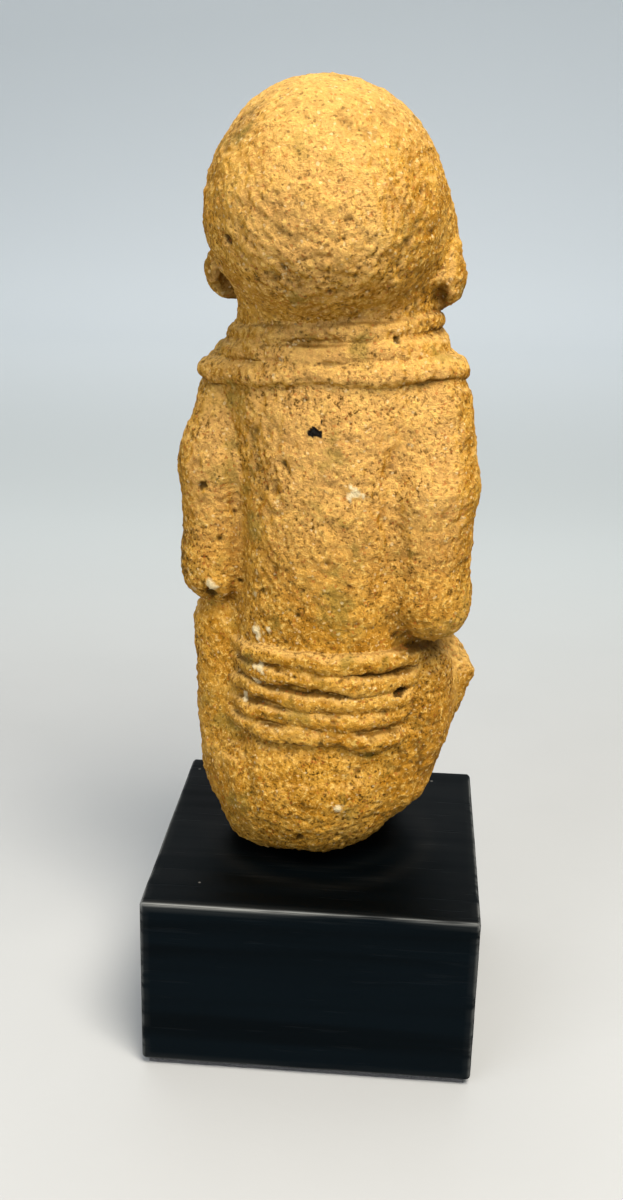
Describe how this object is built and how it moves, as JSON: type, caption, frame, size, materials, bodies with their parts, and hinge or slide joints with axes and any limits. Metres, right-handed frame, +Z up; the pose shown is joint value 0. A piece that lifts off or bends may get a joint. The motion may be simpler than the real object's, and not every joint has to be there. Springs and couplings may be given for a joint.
{
  "type": "fired clay fertility figure on a display block",
  "caption": "Kneeling fired clay fertility figure with round tilted head, coil necklace and belt, standing on a pin in a square black wood block.",
  "frame": {"origin": "centre of the felt's underside, under the middle of the block", "axes": "+Z up, -Y to the front where the face looks, +X to the figure's own left; the block's sides are square to X and Y"},
  "size_m": [0.0508, 0.0508, 0.1452],
  "materials": {
    "clay": "coarse sandy fired clay, worn and dusty",
    "ebonised_wood": "satin black stain with fine open pores",
    "felt": "short dark felt",
    "pin_steel": "drawn steel rod",
    "sleeve_brass": "dull brass tube",
    "plaster": "matt cast plaster"
  },
  "bodies": {
    "base": {"base_block": "ebonised_wood", "base_felt": "felt"},
    "pin": {"mounting_pin": "pin_steel"},
    "figure": {"torso": "clay", "head": "clay", "nose": "clay", "mouth": "clay", "left_eye": "clay", "right_eye": "clay", "left_ear": "clay", "right_ear": "clay", "left_arm": "clay", "right_arm": "clay", "left_leg": "clay", "right_leg": "clay", "neck_ring_1": "clay", "neck_ring_2": "clay", "neck_ring_3": "clay", "waist_ring_1": "clay", "waist_ring_2": "clay", "waist_ring_3": "clay", "waist_ring_4": "clay", "waist_ring_5": "clay", "socket_sleeve": "sleeve_brass", "socket_fill": "plaster"}
  },
  "joints": [
    {"name": "swivel", "type": "hinge", "parent": "base", "child": "pin", "pos_m": [0, 0, 0.0287], "axis": [0, 0, 1], "continuous": true},
    {"name": "lift_off", "type": "slide", "parent": "pin", "child": "figure", "axis": [0, 0, 1], "range_m": [0, 0.036]}
  ]
}
